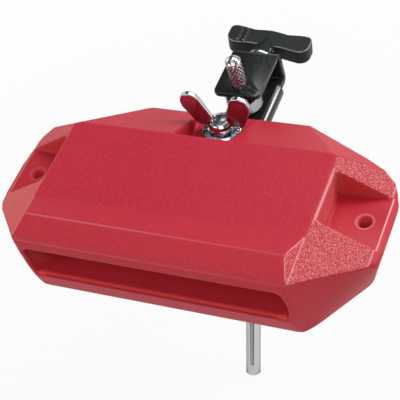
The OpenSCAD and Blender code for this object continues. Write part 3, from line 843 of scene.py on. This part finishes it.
def low_hub(points):
    """Lowers and narrows the top of the wing nut's hub, and leaves the wings and the bore as they are."""
    hub_r, wings_r, bore_wall_r = 7.6 * MM, 9.5 * MM, 4.3 * MM
    shoulder, lowered, narrowed = 4.4 * MM, 0.65, 0.2
    middle = np.array([0, bolt_y])
    away = points[:, :2] - middle
    radius = np.hypot(*away.T)
    height = points[:, 2] - wing_low.z
    share = ramp(radius, wings_r, hub_r)
    narrow = narrowed * share * ramp(height, 3 * MM, 6.6 * MM) * (radius > bore_wall_r)
    drop = lowered * share * np.maximum(height - shoulder, 0)
    return np.column_stack([away * (1 - narrow)[:, None] + middle, points[:, 2] - drop])


def hub_bell():
    """The wing nut's hub, turned about the bolt: a thin flange, a short barrel and a steep shoulder."""
    bore, flange_r, barrel_r, top_r = 4.25 * MM, 8.8 * MM, 7.2 * MM, 4.9 * MM
    flange_h, barrel_h, top_h = 1.0 * MM, 2.9 * MM, 5.1 * MM
    radius, height = np.array([(bore, 0), (flange_r, 0), (flange_r, flange_h), (barrel_r, flange_h),
                               (barrel_r, barrel_h), (top_r, top_h), (bore, top_h)]).T
    angle = np.linspace(0, TURN, AROUND, endpoint=False)[:, None]
    rings = np.stack([radius * np.cos(angle), bolt_y + radius * np.sin(angle),
                      wing_low.z + height + 0 * angle], -1)
    return ring_solid("hub_bell", rings)


def turned_thread(name, profile, low, high, pitch, depth):
    """A solid of revolution about the bolt's axis, with a thread between two heights.

    profile lists (radius, height) from one end to the other. On the thread the radius falls by
    depth * |2 * frac(height / pitch + angle / turn) - 1|, a triangle wave that climbs by one pitch a turn.
    """
    points = np.array(profile, float)
    heights = np.arange(low, high, pitch / 10)
    extra = np.stack([np.interp(heights, points[:, 1], points[:, 0]), heights], -1)
    points = np.concatenate([points, extra])
    points = points[np.argsort(points[:, 1], kind="stable")]
    radius, height = points[:, :1], points[:, 1:]
    angle = np.linspace(0, TURN, AROUND, endpoint=False)
    wave = np.abs(2 * ((height / pitch + angle / TURN) % 1) - 1)
    fade = np.clip((height - low) / pitch, 0, 1) * np.clip((high - height) / pitch, 0, 1)
    radius = radius - depth * wave * fade
    rings = np.stack([radius * np.cos(angle), bolt_y + radius * np.sin(angle), height + 0 * angle], -1)
    return solid(name, rings)


def threaded_bolt():
    """The carriage bolt: a domed head below the bracket, and a threaded shank with a chamfered end."""
    shank, chamfer = 4.0 * MM, 0.6 * MM
    pitch, thread_from, thread_depth = 1.25 * MM, -12 * MM, 0.55 * MM
    head_r = (bolt_high.x - bolt_low.x) / 2
    head_h = PLATE_UNDER_Z - bolt_low.z
    ball = (head_r ** 2 + head_h ** 2) / (2 * head_h)
    swing = math.asin(head_r / ball) * np.linspace(0.03, 1, 16)
    dome = np.stack([ball * np.sin(swing), bolt_low.z + ball * (1 - np.cos(swing))], -1)
    # The end stays a little below the hub's top
    top = bolt_high.z - 1.7 * MM
    profile = dome.tolist() + [(head_r - 0.1 * MM, PLATE_UNDER_Z - 0.02 * MM), (shank, PLATE_UNDER_Z),
                               (shank, top - chamfer), (shank - chamfer, top)]
    return turned_thread("bolt_threaded", profile, thread_from, top - chamfer, pitch, thread_depth)


def split_washer():
    """The lock washer: a rectangle carried round a turn less its gap, its two ends apart by a small rise."""
    lower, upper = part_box("lock_washer")
    outer = (upper.x - lower.x) / 2
    inner, gap, rise, soft = 4.3 * MM, 1.4 * MM, 0.35 * MM, 0.15 * MM
    thick = upper.z - lower.z - rise
    blank = gap / outer / 2
    start = math.pi / 2
    angle = np.linspace(start + blank, start + TURN - blank, 90)[:, None]
    lift = np.linspace(0, rise, 90)[:, None]
    radius, height = np.array([
        (inner + soft, 0), (outer - soft, 0), (outer, soft), (outer, thick - soft), (outer - soft, thick),
        (inner + soft, thick), (inner, thick - soft), (inner, soft)]).T
    rings = np.stack([radius * np.cos(angle), bolt_y + radius * np.sin(angle), lower.z + height + lift], -1)
    return solid("washer_split", rings)


def build():
    """Makes every piece and gives it its material."""
    grain = moulded_grain()
    red = red_plastic(grain)
    chrome = plated_metal("bright_chrome", (0.62, 0.645, 0.67), 0.04)
    rod_chrome = plated_metal("rod_chrome", (0.76, 0.77, 0.79), 0.05, groove_shade="groove")
    zinc = plated_metal("zinc_plate", (0.52, 0.54, 0.57), 0.16)
    dark_zinc = plated_metal("dark_zinc_plate", (0.2, 0.2, 0.21), 0.2)
    brass = plated_metal("turned_brass", (0.75, 0.58, 0.28), 0.2)
    black = gloss_black()
    satin = black_plastic(grain)
    dull = rubber(grain)

    softer = ((60, block_softer), (1200, front_cheek))
    block = cast_copy("block_body", "block_moulding", voxel=0.6 * MM, passes=4, softer=softer, kept=0.28)
    dress(block, "block", "red_plastic", red, "block_body")
    bracket = rounded_copy("bracket", "bracket_pressing", width=0.6 * MM)
    dress(bracket, "bracket", "black_steel", black, "bracket")
    t_handle = cast_copy("t_handle", "handle_moulding", voxel=0.35 * MM, passes=4)
    dress(t_handle, "t_handle", "black_plastic", satin, "t_handle")
    nut = cast_copy("wing_nut", "wing_nut_casting", voxel=0.26 * MM, passes=24, more=hub_bell(),
                    shape=low_hub)
    dress(nut, "wing_nut", "chrome", chrome, "wing_nut")
    eye_bolt = cast_copy("eye_bolt", "eye_forging", voxel=0.35 * MM, passes=12)
    dress(eye_bolt, "eye_bolt", "plain_steel", zinc, "eye_bolt")
    bolt_washer = rounded_copy("bolt_washer", "flat_washer", width=0.4 * MM)
    dress(bolt_washer, "block", "chrome", chrome, "bolt_washer")
    dress(split_washer(), "block", "plain_steel", zinc, "lock_washer")
    dress(threaded_bolt(), "bracket", "chrome", dark_zinc, "carriage_bolt")
    pad = rounded_copy("rubber_pad", "pad", width=0.4 * MM)
    dress(pad, "bracket", "rubber", dull, "rubber_pad")
    handle_washer = rounded_copy("handle_washer", "washer", width=0.3 * MM)
    dress(handle_washer, "bracket", "plain_steel", zinc, "handle_washer")
    insert = rounded_copy("handle_insert", "insert", width=0.2 * MM)
    dress(insert, "t_handle", "brass", brass, "handle_insert")
    dress(knurled_rod(), "rod", "chrome", rod_chrome, "mounting_rod")


# Studio

# Each lamp's name, direction from the block, distance, side, power and colour
LAMPS = [
    ("key_right_back", (0.465, 0.543, 0.7), 1.1, 0.4, 4.5, (0.96, 0.97, 1)),
    ("top_back", (0, 0.57, 0.8), 1.2, 0.5, 3, (0.94, 0.96, 1)),
    ("left_back", (-0.85, 0.35, 0.35), 1.2, 0.5, 1, (1, 1, 1)),
    ("right", (0.85, 0.35, 0.4), 1.2, 0.5, 4, (1, 1, 1)),
    ("fill_front", (0.3, -0.8, 0.9), 1.4, 0.9, 5, (1, 0.96, 0.9)),
    ("fill_left", (-0.6, -0.7, 0.4), 1.3, 0.7, 3.5, (1, 1, 1)),
]


def softbox(name, direction, distance, size, power, color):
    """A square area lamp that stands off in the given direction and faces the block."""
    lamp = bpy.data.lights.new(name, "AREA")
    lamp.shape = "SQUARE"
    lamp.size = size
    lamp.energy = power
    lamp.color = color
    obj = place_in_scene(name, lamp)
    way = Vector(direction).normalized()
    obj.location = way * distance
    obj.rotation_mode = "QUATERNION"
    obj.rotation_quaternion = way.to_track_quat("Z", "Y")


def floor():
    """A pale floor at the rod's foot; the camera and the mirrors see most of it as plain white."""
    half = 4.0
    z = rod_low.z - 1 * MM
    corners = [(-half, -half, z), (half, -half, z), (half, half, z), (-half, half, z)]
    obj = mesh_object("studio_floor", corners, [(0, 1, 2, 3)])
    material, tree, shader = new_material("pale_floor")
    shader.inputs["Base Color"].default_value = (0.72, 0.72, 0.72, 1)
    shader.inputs["Roughness"].default_value = 0.9
    length = tree.nodes.new("ShaderNodeVectorMath")
    length.operation = "LENGTH"
    tree.links.new(object_coords(tree), length.inputs[0])
    away = length.outputs["Value"]
    path = tree.nodes.new("ShaderNodeLightPath").outputs
    mirrored = most_of(tree, path["Is Glossy Ray"], path["Is Transmission Ray"])
    mirrored = product(tree, mirrored, map_range(tree, away, 0.5, 1.8, 0.2, 0.95))
    seen = product(tree, path["Is Camera Ray"], map_range(tree, away, 0.2, 0.7, 0.92, 1.0))
    white = node_of(tree, "ShaderNodeEmission", Color=(1, 1, 1, 1))
    mix = tree.nodes.new("ShaderNodeMixShader")
    shares = (most_of(tree, seen, mirrored), shader.outputs[0], white.outputs[0])
    for socket, value in zip(mix.inputs, shares):
        tree.links.new(value, socket)
    tree.links.new(mix.outputs[0], tree.nodes["Material Output"].inputs["Surface"])
    obj.data.materials.append(material)


def studio_world():
    """White for the camera; for light and mirrors, a bright band low behind the block and a dimmer dome.

    Mirrors also see a bright crown overhead and two dark flags, which give the polished metal its stripes.
    """
    band_light, dome_light, crown_light, flag_shade = 0.75, 0.14, 0.55, -0.85
    left_flag, right_flag = -0.5, 0.32
    world = bpy.data.worlds.new("studio")
    bpy.context.scene.world = world
    world.use_nodes = True
    tree = world.node_tree
    background = tree.nodes["Background"]
    path = tree.nodes.new("ShaderNodeLightPath").outputs
    x, y, z = axes_of(tree, tree.nodes.new("ShaderNodeTexCoord").outputs["Generated"])
    low = below(tree, z, 0.05, 0.7)
    band = product(tree, low, map_range(tree, y, -0.3, 0.6, 0.35, 1.0))
    level = math_node(tree, "MULTIPLY_ADD", band, band_light, dome_light)
    crown = product(tree, above(tree, z, 0.72, 0.85, crown_light), path["Is Glossy Ray"])
    level = math_node(tree, "ADD", level, crown)
    flags = most_of(tree, near(tree, x, left_flag, 0.16), near(tree, x, right_flag, 0.14))
    kept_light = math_node(tree, "ADD", product(tree, flags, path["Is Glossy Ray"], flag_shade), 1.0)
    level = most_of(tree, product(tree, level, kept_light), path["Is Camera Ray"])
    tree.links.new(level, background.inputs["Strength"])
    tint = mix_color(tree, low, (0.92, 0.96, 1, 1), (1, 0.96, 0.9, 1))
    tint = mix_color(tree, path["Is Camera Ray"], tint, (1, 1, 1, 1))
    tree.links.new(tint, background.inputs["Color"])


def camera():
    """The photograph's camera: azimuth, elevation and roll about the block, in a 400 by 400 frame."""
    azimuth, elevation, roll = 0.63778, 0.8290, -0.3523
    distance, side, rise = 660.50 * MM, 9.3522 * MM, -14.5428 * MM
    focal_px, frame_px = 1201.013, 400
    # The view was fitted with the panel's face at height zero
    lift = Vector((0, 0, PANEL_Z))
    back = Vector((math.sin(azimuth) * math.cos(elevation), -math.cos(azimuth) * math.cos(elevation),
                   math.sin(elevation)))
    right = Vector((math.cos(azimuth), math.sin(azimuth), 0))
    up = back.cross(right)
    right_rolled = math.cos(roll) * right + math.sin(roll) * up
    up_rolled = -math.sin(roll) * right + math.cos(roll) * up
    data = bpy.data.cameras.new("photo_camera")
    data.sensor_width = 36
    data.lens = focal_px / frame_px * data.sensor_width
    data.clip_start, data.clip_end = 0.05, 20
    obj = place_in_scene("photo_camera", data)
    turn = Matrix((right_rolled, up_rolled, back)).transposed().to_4x4()
    place = lift + back * distance + right_rolled * side + up_rolled * rise
    obj.matrix_world = Matrix.Translation(place) @ turn
    bpy.context.scene.camera = obj


bpy.context.scene.view_settings.view_transform = "Standard"
camera()
build()
floor()
studio_world()
for lamp_values in LAMPS:
    softbox(*lamp_values)
